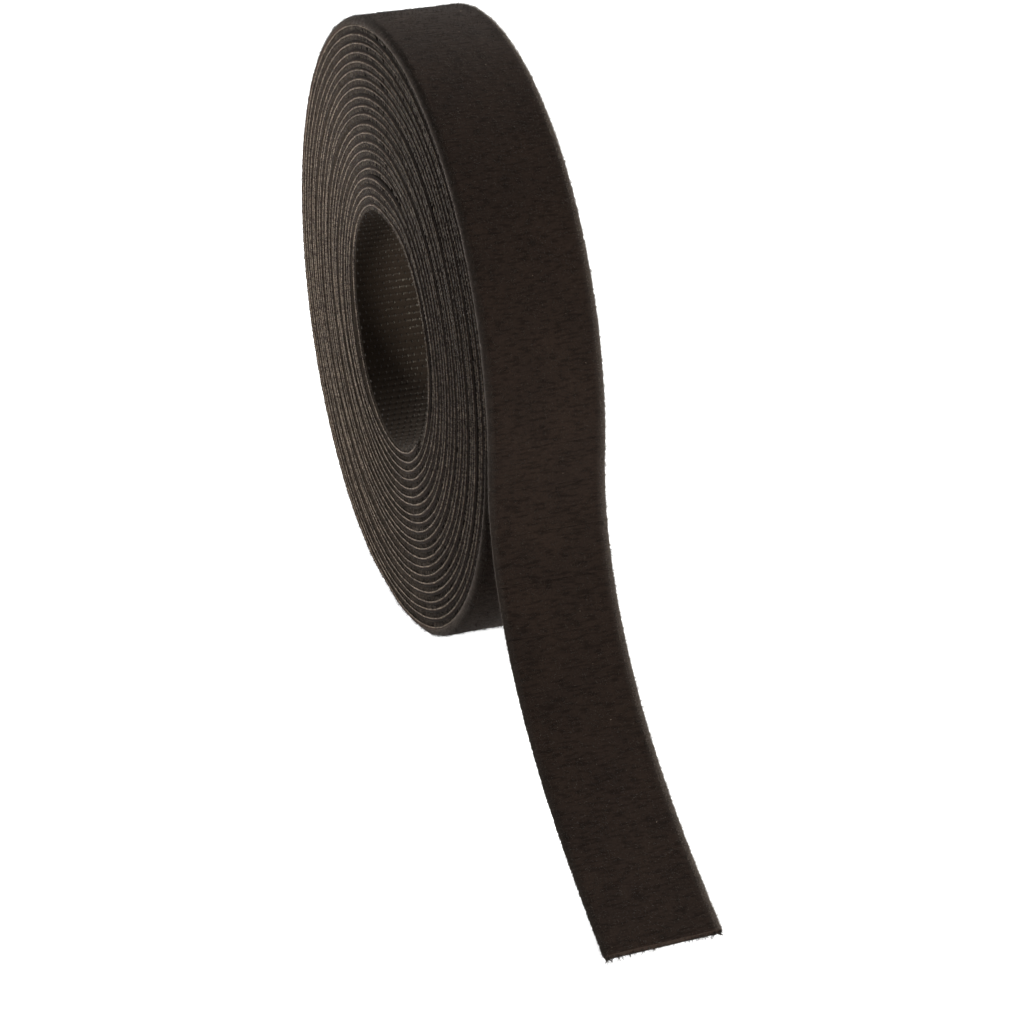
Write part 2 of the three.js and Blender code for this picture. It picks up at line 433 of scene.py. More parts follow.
class Look:
    """A Principled material and the nodes that drive it."""

    def __init__(self, name, roughness, specular, sheen=0.0):
        self.material = bpy.data.materials.new(name)
        self.material.use_nodes = True
        self.tree = self.material.node_tree
        self.shader = self.tree.nodes["Principled BSDF"]
        self.shader.inputs["Roughness"].default_value = roughness
        self.shader.inputs["Sheen Weight"].default_value = sheen
        self.shader.inputs["Sheen Roughness"].default_value = SHEEN_ROUGHNESS
        self.shader.inputs["Sheen Tint"].default_value = (*SHEEN_TINT, 1)
        self.shader.inputs["Specular IOR Level"].default_value = specular
        self.tape = self.node("ShaderNodeAttribute", attribute_name="tape_place").outputs["Vector"]

    def node(self, kind, inputs=(), **settings):
        return add_node(self.tree, kind, inputs, **settings)

    def noise(self, stretch=(1, 1, 1), scale=1.0, detail=2):
        """Noise in tape coordinates, scale cells to a millimetre and stretched along its three axes."""
        moved = self.node("ShaderNodeMapping", {"Vector": self.tape, "Scale": stretch}).outputs["Vector"]
        made = self.node("ShaderNodeTexNoise", {"Vector": moved, "Scale": scale, "Detail": detail})
        return made.outputs["Fac"]

    def tape_axis(self, axis):
        """One of the tape coordinates: X is along, Y across and Z deep."""
        return self.node("ShaderNodeSeparateXYZ", {"Vector": self.tape}).outputs[axis]

    def ramp(self, value, spread, colours):
        """From one colour at the start of a spread of values to another at its end."""
        made = self.node("ShaderNodeValToRGB", {"Fac": value})
        for element, position, colour in zip(made.color_ramp.elements, spread, colours):
            element.position = position
            element.color = (*colour, 1)
        return made.outputs["Color"]

    def share(self, value, spread, shares=(0.0, 1.0)):
        """From one share at the start of a spread of values to another at its end."""
        made = self.node("ShaderNodeMapRange", {"Value": value, "From Min": spread[0], "From Max": spread[1],
                                                "To Min": shares[0], "To Max": shares[1]})
        return made.outputs["Result"]

    def combine(self, first, second, operation="ADD"):
        return combined(self.tree, first, second, operation)

    def painted_sheen_share(self):
        """Painted sheen: from 0 at the middle of the tape to 1 at its right edge, and less at its left edge.
        """
        across = self.tape_axis("Y")
        right = self.share(across, (PAINTED_SHEEN_FROM / MM, PAINTED_SHEEN_TO / MM))
        left = self.share(across, (-LEFT_PAINTED_SHEEN_FROM / MM, -PAINTED_SHEEN_TO / MM), (0.0, LEFT_PAINTED_SHEEN_SHARE))
        return self.combine(self.combine(right, 2, "POWER"), left)

    def standing_unshaded_share(self):
        """1 where the hooks stand, less where they are flattened in patches, and less towards the left edge,
        where shade is painted.
        """
        patchy = self.share(self.noise(**FLATTENED), FLATTENED_SPREAD, FLATTENED_SHARES)
        # Painted shade: darker towards the left edge of the tape
        inward = self.share(self.tape_axis("Y"), (SHADED_EDGE_TO / MM, UNSHADED_FROM / MM), EDGE_SHADE_SHARES)
        return self.combine(patchy, inward, "MULTIPLY")

    def mix(self, first, second, factor, blend_type="MIX"):
        made = self.node("ShaderNodeMix", {"Factor": factor}, data_type="RGBA", blend_type=blend_type)
        sockets = [socket for socket in made.inputs if socket.type == "RGBA"]
        for socket, value in zip(sockets, (first, second)):
            if isinstance(value, bpy.types.NodeSocket):
                self.tree.links.new(value, socket)
            else:
                socket.default_value = (*value, 1)
        return next(socket for socket in made.outputs if socket.type == "RGBA")

    def multiply(self, first, second):
        return self.mix(first, second, 1.0, "MULTIPLY")

    def colour(self, socket):
        self.tree.links.new(socket, self.shader.inputs["Base Color"])

    def roughness(self, socket):
        self.tree.links.new(socket, self.shader.inputs["Roughness"])

    def bump(self, height, distance, strength):
        made = self.node("ShaderNodeBump", {"Height": height, "Distance": distance, "Strength": strength})
        self.tree.links.new(made.outputs["Normal"], self.shader.inputs["Normal"])


def pile_look(name, sheen, share, painted_sheen_tone):
    look = Look(name, roughness=0.95, specular=0.04, sheen=sheen)
    fluff = look.noise(**FLUFF)
    dashes = look.noise(**DASHES)
    patches = look.noise(**PATCHES)
    # A share below 1 paints shade over the pile, as on the wound pile
    base = look.ramp(fluff, NOISE_SPREAD, greys(PILE_TONES, share))
    # The dark dashes are painted shade where the bump sinks into grooves
    dashed = look.multiply(base, look.ramp(dashes, DASH_SPREAD, DASH_SHADE_TINTS))
    patched = look.multiply(dashed, look.ramp(patches, NOISE_SPREAD, PATCH_TINTS))
    # Painted sheen: the pile is paler towards the edges of the tape
    look.colour(look.mix(patched, grey(*painted_sheen_tone), look.painted_sheen_share()))
    height = look.combine(fluff, look.combine(dashes, DASH_HEIGHT_SHARE, "MULTIPLY"))
    look.bump(height, PILE_BUMP, strength=0.7)
    return look.material


def ground_look(name, tones):
    look = Look(name, roughness=0.9, specular=0.05)
    weave = look.noise(**WEAVE)
    look.colour(look.ramp(weave, NOISE_SPREAD, greys(tones)))
    look.bump(weave, WEAVE_BUMP, strength=0.8)
    return look.material


def hook_ground_look(name, flat_tones, ridge_highlight_tones):
    """The hooks' woven ground: glossier on its ridges, where the hooks stand, and painted paler there as a
    painted highlight, which fades with painted shade towards the left edge.
    """
    look = Look(name, roughness=RIDGE_ROUGHNESS[0], specular=0.15)
    weave = look.noise(**WEAVE)
    beads = look.noise(**RIDGE_BEADS)
    flat = look.ramp(weave, NOISE_SPREAD, greys(flat_tones))
    ridge = look.ramp(beads, BEAD_SPREAD, greys(ridge_highlight_tones))
    ridge_depths = ((GROUND_BOTTOM + RIDGE_FOOT) / MM, (GROUND_BOTTOM + RIDGE_HEIGHT) / MM)
    on_ridge = look.share(look.tape_axis("Z"), ridge_depths)
    # Painted highlight on the ridges, faded by the painted shade towards the left edge
    ridge_highlight = look.combine(on_ridge, look.standing_unshaded_share(), "MULTIPLY")
    look.colour(look.mix(flat, ridge, ridge_highlight))
    look.roughness(look.share(ridge_highlight, (0.0, 1.0), RIDGE_ROUGHNESS))
    look.bump(weave, WEAVE_BUMP, strength=0.8)
    return look.material


def hook_look(name, tones):
    """The hooks' filament, darker and duller where they are flattened, and where shade is painted towards the
    left edge.
    """
    look = Look(name, roughness=HOOK_ROUGHNESS[0], specular=0.4)
    standing_unshaded = look.standing_unshaded_share()
    base = look.ramp(look.noise(**FIBRES), NOISE_SPREAD, greys(tones))
    look.colour(look.mix(grey(*tones[0]), base, standing_unshaded))
    look.roughness(look.share(standing_unshaded, (0.0, 1.0), HOOK_ROUGHNESS))
    return look.material


def thread_look(name, tones):
    look = Look(name, roughness=0.8, specular=0.12, sheen=0.03)
    strand = look.noise(**THREAD_STRANDS)
    worn = look.noise(**WEAR)
    base = look.ramp(strand, STRAND_SPREAD, greys(tones))
    look.colour(look.multiply(base, look.ramp(worn, WEAR_SPREAD, WEAR_TINTS)))
    look.bump(strand, THREAD_BUMP, strength=0.7)
    return look.material


def fibre_look(name, tones, specular, sheen):
    look = Look(name, roughness=0.8, specular=specular, sheen=sheen)
    look.colour(look.ramp(look.noise(**FIBRES), NOISE_SPREAD, greys(tones)))
    return look.material


STITCH = thread_look("edge_stitch", STITCH_TONES)
LOOP_LOOKS = [
    pile_look("brushed_pile", sheen=0.08, share=1.0, painted_sheen_tone=PAINTED_SHEEN_TONE),
    ground_look("loop_ground", GROUND_TONES),
    thread_look("selvedge_thread", THREAD_TONES),
    STITCH,
    fibre_look("pile_fibre", FIBRE_TONES, specular=0.1, sheen=0.1),
    fibre_look("lint", LINT_TONES, specular=0.2, sheen=0.0),
    # The wound pile is the pile with painted shade
    pile_look("wound_pile_shaded", sheen=0.02, share=WOUND_PAINTED_SHADE_SHARE, painted_sheen_tone=WOUND_PAINTED_SHEEN_TONE),
    fibre_look("haze_fibre_painted_sheen", HAZE_SHEEN_TONES, specular=0.1, sheen=0.1),
]
HOOK_LOOKS = [
    hook_ground_look("hook_ground", FLAT_TONES, RIDGE_HIGHLIGHT_TONES),
    hook_look("hook_filament", HOOK_TONES),
    STITCH,
]
PILE_SLOT, GROUND_SLOT, THREAD_SLOT, STITCH_SLOT, FIBRE_SLOT, LINT_SLOT, WOUND_PILE_SLOT, HAZE_SHEEN_SLOT = range(8)
HOOK_GROUND_SLOT, HOOK_SLOT, HOOK_STITCH_SLOT = range(3)


# The section of the loop tape: pile with rounded edges on a ground
PILE_OVERHANG = 0.12 * MM
WOUND_PILE_INSET = 0.25 * MM
GROUND_INSET = 0.24 * MM
HOOK_GROUND_INSET = 0.38 * MM
PILE_HALF = TAPE_WIDTH / 2 + PILE_OVERHANG
WOUND_PILE_HALF = TAPE_WIDTH / 2 - WOUND_PILE_INSET
GROUND_HALF = TAPE_WIDTH / 2 - GROUND_INSET
HOOK_GROUND_HALF = TAPE_WIDTH / 2 - HOOK_GROUND_INSET
OPEN_CORNER = 1.3 * MM
WOUND_CORNER = 0.4 * MM
CORNER_STEPS = 5
GROUND_FACES = 5


def loop_section(top_columns, half, corner, pile_slot):
    """Across and depth of the section's points, with the slot of the face after each."""
    top = np.linspace(-1, 1, top_columns) * (half - corner)
    turn = np.linspace(0, TURN / 4, CORNER_STEPS + 1)[1:]
    side_across = half - corner * (1 - np.sin(turn))
    side_depth = PILE_HEIGHT * (1 - np.cos(turn))
    ground_across = np.array([GROUND_HALF, GROUND_HALF])
    ground_depth = np.array([PILE_HEIGHT, LOOP_THICKNESS])
    across = np.concatenate([top, side_across, ground_across, -ground_across[::-1], -side_across[::-1]])
    depth = np.concatenate([0 * top, side_depth, ground_depth, ground_depth[::-1], side_depth[::-1]])
    slots = np.full(len(across), pile_slot)
    first_ground = top_columns + CORNER_STEPS - 1
    slots[first_ground:first_ground + GROUND_FACES] = GROUND_SLOT
    return across, depth, slots


# How far the open pile stands up where nothing presses it
ROLL_RISE = 1.0 * MM
TAIL_RISE = 0.4 * MM
RISE_PLACES = (-10 * MM, 10 * MM)
STANDING_REACH = math.radians(14)
STANDING_FADE = math.radians(12)
COVER_FADE = math.radians(30)

# Grooves, fluff and lumps of the open pile
GROOVE_LENGTH = 2.2 * MM
GROOVE_WIDTH = 0.36 * MM
GROOVE_DEPTH = 0.05 * MM
GROOVE_GAIN = 3
GROOVE_FLOOR = 1.9
FLUFF_SIZE = 0.28 * MM
FLUFF_DEPTH = 0.07 * MM
LUMP_SIZE = 2.6 * MM
LUMP_DEPTH = 0.05 * MM


def rise_at(along):
    """How far the pile stands up: less on the free end, and none where the roll stands or is covered."""
    wound = np.interp(along, WOUND_ALONG, WOUND_AT)
    from_bottom = np.abs(angle_off(wound + LEAVE_ANGLE, BOTTOM_ANGLE))
    clear = np.clip((from_bottom - STANDING_REACH) / STANDING_FADE, 0, 1)
    open_share = np.clip((TURN - wound) / COVER_FADE, 0, 1)
    return np.interp(along, RISE_PLACES, (ROLL_RISE, TAIL_RISE)) * clear * open_share


def pile_relief(along, across):
    grooves = smooth_noise(along / GROOVE_WIDTH, across / GROOVE_LENGTH, GROOVE_SEED)
    fluff = smooth_noise(along / FLUFF_SIZE, across / FLUFF_SIZE, FLUFF_SEED)
    lumps = smooth_noise(along / LUMP_SIZE, across / LUMP_SIZE, LUMP_SEED)
    grooved = np.clip(grooves * GROOVE_GAIN - GROOVE_FLOOR, 0, 1)
    return GROOVE_DEPTH * grooved + FLUFF_DEPTH * fluff + LUMP_DEPTH * lumps


FINE_STEP = 0.24 * MM
FINE_COLUMNS = 64
COARSE_STEP = math.radians(1.5)
COARSE_COLUMNS = 2
EDGE_RAGGED = 0.1 * MM


def even_steps(start, end, step):
    """Places along the tape about a step apart."""
    return np.linspace(start, end, round((end - start) / step) + 1)


def add_fine_loop_tape(shape, start, end):
    """The loop tape where its pile shows."""
    along = even_steps(start, end, FINE_STEP)
    across, depth, slots = loop_section(FINE_COLUMNS, PILE_HALF, OPEN_CORNER, PILE_SLOT)
    pile_share = np.where(depth < LOOP_THICKNESS, np.clip(1 - depth / PILE_HEIGHT, 0, 1), 0)
    relief = pile_relief(along[:, None], across)
    depth = depth + pile_share * (relief - rise_at(along)[:, None])
    ragged = (smooth_noise(along[:, None] / FLUFF_SIZE, np.sign(across), RAGGED_SEED) - 0.5) * EDGE_RAGGED
    across = across + np.sign(across) * ragged * (np.abs(across) > PILE_HALF - OPEN_CORNER)
    shape.sweep(along, across, depth, slots, GROUND_SLOT)


def coarse_steps(start, end):
    """Places along the tape a coarse step of the winding apart."""
    wound = np.interp([start, end], WOUND_ALONG, WOUND_AT)
    steps = np.arange(wound[0], wound[1], -COARSE_STEP)
    inside = np.interp(-steps, -WOUND_AT, WOUND_ALONG)
    return np.append(inside[inside < end - FINE_STEP], end)


# Inside the roll the hooks hold the pile up against the turn over it, except near the edges
CAUGHT_INSET = 1.9 * MM
CAUGHT_OVERLAP = 0.03 * MM
CAUGHT_RISE = HOOK_HEIGHT + CAUGHT_OVERLAP


def add_coarse_loop_tape(shape, start, end):
    """The loop tape inside the roll, where only its sides show."""
    along = coarse_steps(start, end)
    across, depth, slots = loop_section(COARSE_COLUMNS, WOUND_PILE_HALF, WOUND_CORNER, WOUND_PILE_SLOT)
    shape.sweep(along, across, depth, slots, GROUND_SLOT)
    across = np.array([-1, 1, 1, -1]) * (TAPE_WIDTH / 2 - CAUGHT_INSET)
    depth = np.array([-CAUGHT_RISE, -CAUGHT_RISE, CAUGHT_OVERLAP, CAUGHT_OVERLAP])
    slots = np.full(len(across), WOUND_PILE_SLOT)
    shape.sweep(along, across, depth, slots, WOUND_PILE_SLOT)


# The selvedge: a thread woven along each edge of the tape, which stands out in beads
THREAD_RADIUS = 0.15 * MM
BEAD_SHARE = 0.25
BEAD_UNEVEN_SHARE = 0.5
BEAD_LENGTH = 0.42 * MM
BEAD_STEPS = 3
THREAD_SIDES = 5
THREAD_ACROSS = TAPE_WIDTH / 2 - THREAD_RADIUS
THREAD_DEPTH = 0.66 * MM
THREAD_WANDER = 0.07 * MM
WANDER_LENGTH = 4 * BEAD_LENGTH


def add_selvedge(shape, start, end, side):
    rows = round((end - start) / BEAD_LENGTH) * BEAD_STEPS + 1
    along = np.linspace(start, end, rows)[:, None]
    turn = np.arange(THREAD_SIDES) * TURN / THREAD_SIDES
    uneven = smooth_noise(along / BEAD_LENGTH, 0 * along, BEAD_SEED + side) - 0.5
    bead = np.cos(np.arange(rows)[:, None] * TURN / BEAD_STEPS) - 1
    radius = THREAD_RADIUS * (1 + BEAD_SHARE * bead) * (1 + BEAD_UNEVEN_SHARE * uneven)
    wander = (smooth_noise(along / WANDER_LENGTH, 0 * along, WANDER_SEED + side) - 0.5) * THREAD_WANDER
    across = side * THREAD_ACROSS + radius * np.sin(turn)
    depth = THREAD_DEPTH + wander - radius * np.cos(turn)
    shape.sweep(along[:, 0], across, depth, np.full(THREAD_SIDES, THREAD_SLOT), THREAD_SLOT)


# Slanted stitches from the selvedge over the edge of the hook tape
STITCH_STEP = 0.42 * MM
STITCH_POINTS = 3
STITCH_SLANT = 0.3 * MM
STITCH_RADIUS = 0.055 * MM
STITCH_INSET = 0.2 * MM
STITCH_BULGE = 0.05 * MM
STITCH_UNDER_THREAD = 0.05 * MM
STITCH_OVERRUN = 0.02 * MM
STITCH_TOP = THREAD_DEPTH + STITCH_UNDER_THREAD
STITCH_BOTTOM = PITCH + STITCH_OVERRUN
STITCH_SHARE = 0.8
LEAST_SLANT_SHARE = 0.4


def add_stitches(shape, start, end, side):
    number = np.arange(math.ceil(start / STITCH_STEP), math.floor(end / STITCH_STEP))
    number = number[lattice(number, 0 * number, STITCH_SEEDS[0] + side) < STITCH_SHARE]
    share = np.linspace(0, 1, STITCH_POINTS)
    shift = (lattice(number, 0 * number, STITCH_SEEDS[1] + side) - 0.5) * STITCH_STEP
    slant = STITCH_SLANT * (LEAST_SLANT_SHARE + lattice(number, 0 * number, STITCH_SEEDS[2] + side))
    along = np.clip((number * STITCH_STEP + shift)[:, None] + slant[:, None] * share, start, end)
    across = side * (TAPE_WIDTH / 2 - STITCH_INSET + STITCH_BULGE * np.sin(math.pi * share)) + 0 * along
    depth = STITCH_TOP + (STITCH_BOTTOM - STITCH_TOP) * share + 0 * along
    shape.strands(along, across, depth, STITCH_RADIUS, THIN_SIDES, STITCH_SLOT)


# The hook tape: a woven ground with ridges, and a row of hooks across it on each ridge
HOOK_ROW_STEP = 1.35 * MM
HOOK_STEP = 1.2 * MM
HOOK_COLUMNS = 16
HOOK_RADIUS = 0.085 * MM
HOOK_CURL = 0.17 * MM
HOOK_FOOT = 0.1 * MM
HOOK_JITTER = 0.24 * MM
HOOK_HEIGHT_JITTER = 0.1
HOOK_TIP_SHARE = 0.75
HOOK_CURL_ANGLE = 1.15 * math.pi
RIDGE_STEP = HOOK_ROW_STEP / 8
RIDGE_COLUMNS = 36
RIDGE_SHARPNESS = 4
RIDGE_BEAD_LENGTH = 0.55 * MM
RIDGE_BEAD_SHARE = 0.4


def add_hook_ground(shape, along, columns=COARSE_COLUMNS):
    """The ground, with its ridges where it has enough columns to show them."""
    bottom = np.linspace(1, -1, columns) * HOOK_GROUND_HALF
    across = np.concatenate([[-HOOK_GROUND_HALF, HOOK_GROUND_HALF], bottom])
    depth = np.concatenate([[LOOP_THICKNESS, LOOP_THICKNESS], np.full(columns, GROUND_BOTTOM)])
    depth = np.tile(depth, (len(along), 1))
    if columns > COARSE_COLUMNS:
        ridge = np.clip(np.cos(along[:, None] * TURN / HOOK_ROW_STEP), 0, 1) ** RIDGE_SHARPNESS
        beads = smooth_noise(along[:, None] / HOOK_ROW_STEP, bottom / RIDGE_BEAD_LENGTH, RIDGE_SEED) - 1
        depth[:, 2:] += RIDGE_HEIGHT * ridge * (1 + RIDGE_BEAD_SHARE * beads)
    slots = np.full(len(across), HOOK_GROUND_SLOT)
    shape.sweep(along, across, depth, slots, HOOK_GROUND_SLOT)


def add_hooks(shape, start, end, columns, steps, sides):
    """Hooks between two places along the tape: up out of the ground, and over along the tape."""
    rows = np.arange(math.ceil(start / HOOK_ROW_STEP), math.ceil(end / HOOK_ROW_STEP))
    row, column = [a.ravel() for a in np.meshgrid(rows, columns, indexing="ij")]
    jitter = [lattice(row, column, seed) - 0.5 for seed in HOOK_SEEDS]
    way = np.where((row + column) % 2 == 0, 1.0, -1.0)
    stagger = np.where(row % 2 == 0, -HOOK_STEP / 4, HOOK_STEP / 4)
    foot_along = row * HOOK_ROW_STEP + jitter[0] * HOOK_JITTER
    foot_across = (column - (HOOK_COLUMNS - 1) / 2) * HOOK_STEP + stagger + jitter[1] * HOOK_JITTER
    height = HOOK_HEIGHT * (1 + HOOK_HEIGHT_JITTER * (jitter[2] - 0.5))
    curl = np.linspace(0, HOOK_CURL_ANGLE, steps - 1)
    centre = height - HOOK_CURL - HOOK_RADIUS
    out = np.concatenate([[0], HOOK_CURL * (1 - np.cos(curl))])
    foot = np.full((len(row), 1), -HOOK_FOOT)
    up = np.concatenate([foot, centre[:, None] + HOOK_CURL * np.sin(curl)], axis=1)
    lean = jitter[3] * HOOK_CURL
    along = foot_along[:, None] + way[:, None] * (out - HOOK_CURL)
    across = foot_across[:, None] + lean[:, None] * np.clip(up / HOOK_HEIGHT, 0, 1)
    thin = HOOK_RADIUS * np.linspace(1, HOOK_TIP_SHARE, steps)
    shape.strands(along, across, GROUND_BOTTOM + up, thin, sides, HOOK_SLOT)


# The pile's loops that stand out of it, as short arches
ARCHES_PER_MM2 = 3.2
ARCH_SPAN = 0.6 * MM
ARCH_HEIGHT = 0.45 * MM
ARCH_SUNK = 0.08 * MM
ARCH_STEPS = 4
ARCH_SPAN_SHARES = (0.4, 1.3)
ARCH_HEIGHT_SHARES = (0.2, 1.0)
LOW_ARCH_POWER = 1.7
ARCH_LEAN_SHARE = 0.3
FIBRE_RADIUS = 0.015 * MM


def add_arches(shape, start, end, seed):
    chance = np.random.default_rng(seed)
    count = int((end - start) * TAPE_WIDTH / MM ** 2 * ARCHES_PER_MM2)
    along = chance.uniform(start, end, count)
    across = chance.uniform(-PILE_HALF, PILE_HALF, count)
    heading = chance.uniform(0, math.pi, count)
    span = ARCH_SPAN * chance.uniform(*ARCH_SPAN_SHARES, count)
    height = ARCH_HEIGHT * chance.uniform(*ARCH_HEIGHT_SHARES, count) ** LOW_ARCH_POWER
    lean = chance.normal(0, ARCH_LEAN_SHARE, count) * span
    share = np.linspace(-1, 1, ARCH_STEPS)
    into_corner = np.clip((np.abs(across) - PILE_HALF + OPEN_CORNER) / OPEN_CORNER, 0, 1)
    sunk = PILE_HEIGHT * (1 - np.sqrt(1 - into_corner ** 2))
    level = sunk - rise_at(along) * (1 - sunk / PILE_HEIGHT) + ARCH_SUNK
    along = along[:, None] + np.cos(heading)[:, None] * span[:, None] / 2 * share
    across = across[:, None] + np.sin(heading)[:, None] * span[:, None] / 2 * share
    outward = np.sign(across) * (height * into_corner)[:, None] / 2
    across = across + (lean[:, None] / 2 + outward) * (1 - share ** 2)
    depth = level[:, None] - height[:, None] * (1 - share ** 2)
    shape.strands(np.clip(along, start, end), across, depth, FIBRE_RADIUS, THIN_SIDES, FIBRE_SLOT)


# The haze of fibres along the edges of the open pile: fewer on the left and darker there, while the right
# ones are painted pale, a painted sheen
HAZE_PER_MM = 50
HAZE_LENGTH = 0.7 * MM
HAZE_LENGTH_SHARES = (0.3, 1.0)
HAZE_SWEEP_SHARE = 0.5
HAZE_SUNK = 0.1 * MM
HAZE_RADIUS = 0.022 * MM
HAZE_TAPER = (1, 0.7, 0.3)
LEFT_HAZE_SHARE = 0.35


def add_haze(shape, start, end, side, seed):
    chance = np.random.default_rng(seed)
    # The right haze is painted pale as a painted sheen; the left takes the darker pile fibre colour
    side_share, slot = (LEFT_HAZE_SHARE, FIBRE_SLOT) if side < 0 else (1, HAZE_SHEEN_SLOT)
    count = int((end - start) / MM * HAZE_PER_MM * side_share)
    share = np.linspace(0, 1, len(HAZE_TAPER))
    root = chance.uniform(0, TURN / 4, count)
    length = HAZE_LENGTH * chance.uniform(*HAZE_LENGTH_SHARES, count)
    sweep = chance.normal(0, HAZE_SWEEP_SHARE, count)[:, None] * length[:, None] * share ** 2
    along = chance.uniform(start, end, count)
    pile_rise = PILE_HEIGHT + rise_at(along)
    reach = PILE_HALF - OPEN_CORNER * (1 - np.sin(root)) - HAZE_RADIUS
    depth = PILE_HEIGHT - pile_rise * np.cos(root) + HAZE_SUNK
    across = side * (reach[:, None] + length[:, None] * np.sin(root)[:, None] * share)
    depth = depth[:, None] - (length * np.cos(root))[:, None] * share
    along = np.clip(along[:, None] + sweep, start, end)
    shape.strands(along, across, depth, HAZE_RADIUS * np.array(HAZE_TAPER), THIN_SIDES, slot)


# Frayed threads at a cut end, longer towards the edges of the tape
FRAY_COUNT = 130
FRAY_LENGTH = 1.1 * MM
FRAY_LENGTH_SHARES = (0.2, 1.0)
SHORT_FRAY_POWER = 1.5
FRAY_EDGE_SHARE = 0.5
FRAY_ROOT = 0.15 * MM
FRAY_SIDEWAYS_SHARE = 0.35
FRAY_LIFT_SHARE = 0.25
FRAY_RADIUS = 0.09 * MM
FRAY_TAPER = 0.6
FRAY_STEPS = 4


def add_fray(shape, end, way, seed, slot, low, high):
    """Threads that stand out of a cut end, between two depths of the tape."""
    chance = np.random.default_rng(seed)
    share = np.linspace(0, 1, FRAY_STEPS)
    across = GROUND_HALF * np.sin(chance.uniform(-TURN / 4, TURN / 4, FRAY_COUNT))
    depth = chance.uniform(low, high, FRAY_COUNT)
    length = FRAY_LENGTH * chance.uniform(*FRAY_LENGTH_SHARES, FRAY_COUNT) ** SHORT_FRAY_POWER
    length = length * (1 - FRAY_EDGE_SHARE + FRAY_EDGE_SHARE * np.abs(across) / GROUND_HALF) + FRAY_ROOT
    sideways = chance.normal(0, FRAY_SIDEWAYS_SHARE, FRAY_COUNT) * length
    lift = chance.normal(0, FRAY_LIFT_SHARE, FRAY_COUNT) * length
    along = end + way * (length[:, None] * share - FRAY_ROOT)
    across = across[:, None] + sideways[:, None] * share ** 2
    depth = depth[:, None] + lift[:, None] * share ** 2
    shape.strands(along, across, depth, FRAY_RADIUS * (1 - FRAY_TAPER * share), THIN_SIDES, slot)


# Specks of lint on the pile
LINT_PER_MM2 = 0.003
LINT_POINTS = 3
LINT_HALF_LENGTHS = (0.03 * MM, 0.1 * MM)
LINT_RADIUS = 0.035 * MM
LINT_ACROSS_SHARE = 0.9


def add_lint(shape, start, end, seed):
    chance = np.random.default_rng(seed)
    count = max(int((end - start) * TAPE_WIDTH / MM ** 2 * LINT_PER_MM2), 1)
    share = np.linspace(-1, 1, LINT_POINTS)
    heading = chance.uniform(0, TURN, count)
    half = chance.uniform(*LINT_HALF_LENGTHS, count)
    along = chance.uniform(start, end, count)[:, None] + (np.cos(heading) * half)[:, None] * share
    across = chance.uniform(-PILE_HALF, PILE_HALF, count)[:, None] * LINT_ACROSS_SHARE
    across = across + (np.sin(heading) * half)[:, None] * share
    depth = ARCH_SUNK - rise_at(along) - FLUFF_DEPTH
    shape.strands(np.clip(along, start, end), across, depth, LINT_RADIUS, THIN_SIDES, LINT_SLOT)


# Stray fibres on the sides
STRAY_COUNT = 14
STRAY_LENGTH = 2.2 * MM
STRAY_LENGTH_SHARES = (0.3, 1.0)
STRAY_DEPTH_SHARES = (0.2, 0.8)
STRAY_CURVE = 0.8
STRAY_STEPS = 8
STRAY_RADIUS = 0.03 * MM
STRAY_CLEARANCE = 0.05 * MM
STRAY_LIFT = 0.2 * MM
STANDING_STRAY = math.radians(6595)


def add_strays(shape, start, end, side, seed):
    """Loose fibres over the side of the roll, the first of them across the turns above the bore."""
    chance = np.random.default_rng(seed)
    share = np.linspace(0, 1, STRAY_STEPS)
    along = chance.uniform(start, end, STRAY_COUNT)
    along[0] = along_at(STANDING_STRAY)
    heading = chance.uniform(0, TURN, STRAY_COUNT)
    heading[0] = TURN / 4
    length = STRAY_LENGTH * chance.uniform(*STRAY_LENGTH_SHARES, STRAY_COUNT)
    curve = chance.normal(0, STRAY_CURVE, (STRAY_COUNT, 1)) * share
    way = heading[:, None] + curve
    stride = length[:, None] / STRAY_STEPS
    along = along[:, None] + np.cumsum(np.cos(way) * stride, axis=1)
    depth = PITCH * chance.uniform(*STRAY_DEPTH_SHARES, (STRAY_COUNT, 1))
    depth = depth + np.cumsum(np.sin(way) * stride, axis=1)
    across = side * (TAPE_WIDTH / 2 + STRAY_CLEARANCE + STRAY_LIFT * np.sin(math.pi * share)) + 0 * along
    shape.strands(along, across, depth, STRAY_RADIUS, THIN_SIDES, THREAD_SLOT)


# The wound roll: its parts, how finely its hooks are made, and the seeds of its random draws
FIRST_TURN_END = along_at(TURN + math.radians(3))
INNER_TURN_END = along_at(WOUND_ANGLE - TURN - math.radians(4))
TAIL_ROOT = -3.5 * MM
OUTER_PARTS = 2
SELVEDGE_PARTS = 2
ARCH_PARTS = 6
SIDES = ((-1, "left"), (1, "right"))
ALL_COLUMNS = np.arange(HOOK_COLUMNS)
EDGE_COLUMNS = np.array([0, HOOK_COLUMNS - 1])
HOOK_STEPS, HOOK_SIDES = 7, 5
SIDE_HOOK_STEPS = 4
ROLL_ARCH_SEED, ROLL_HAZE_SEED, ROLL_LINT_SEED = 31, 91, 41
STRAY_SEED, INNER_FRAY_SEED = 81, 21


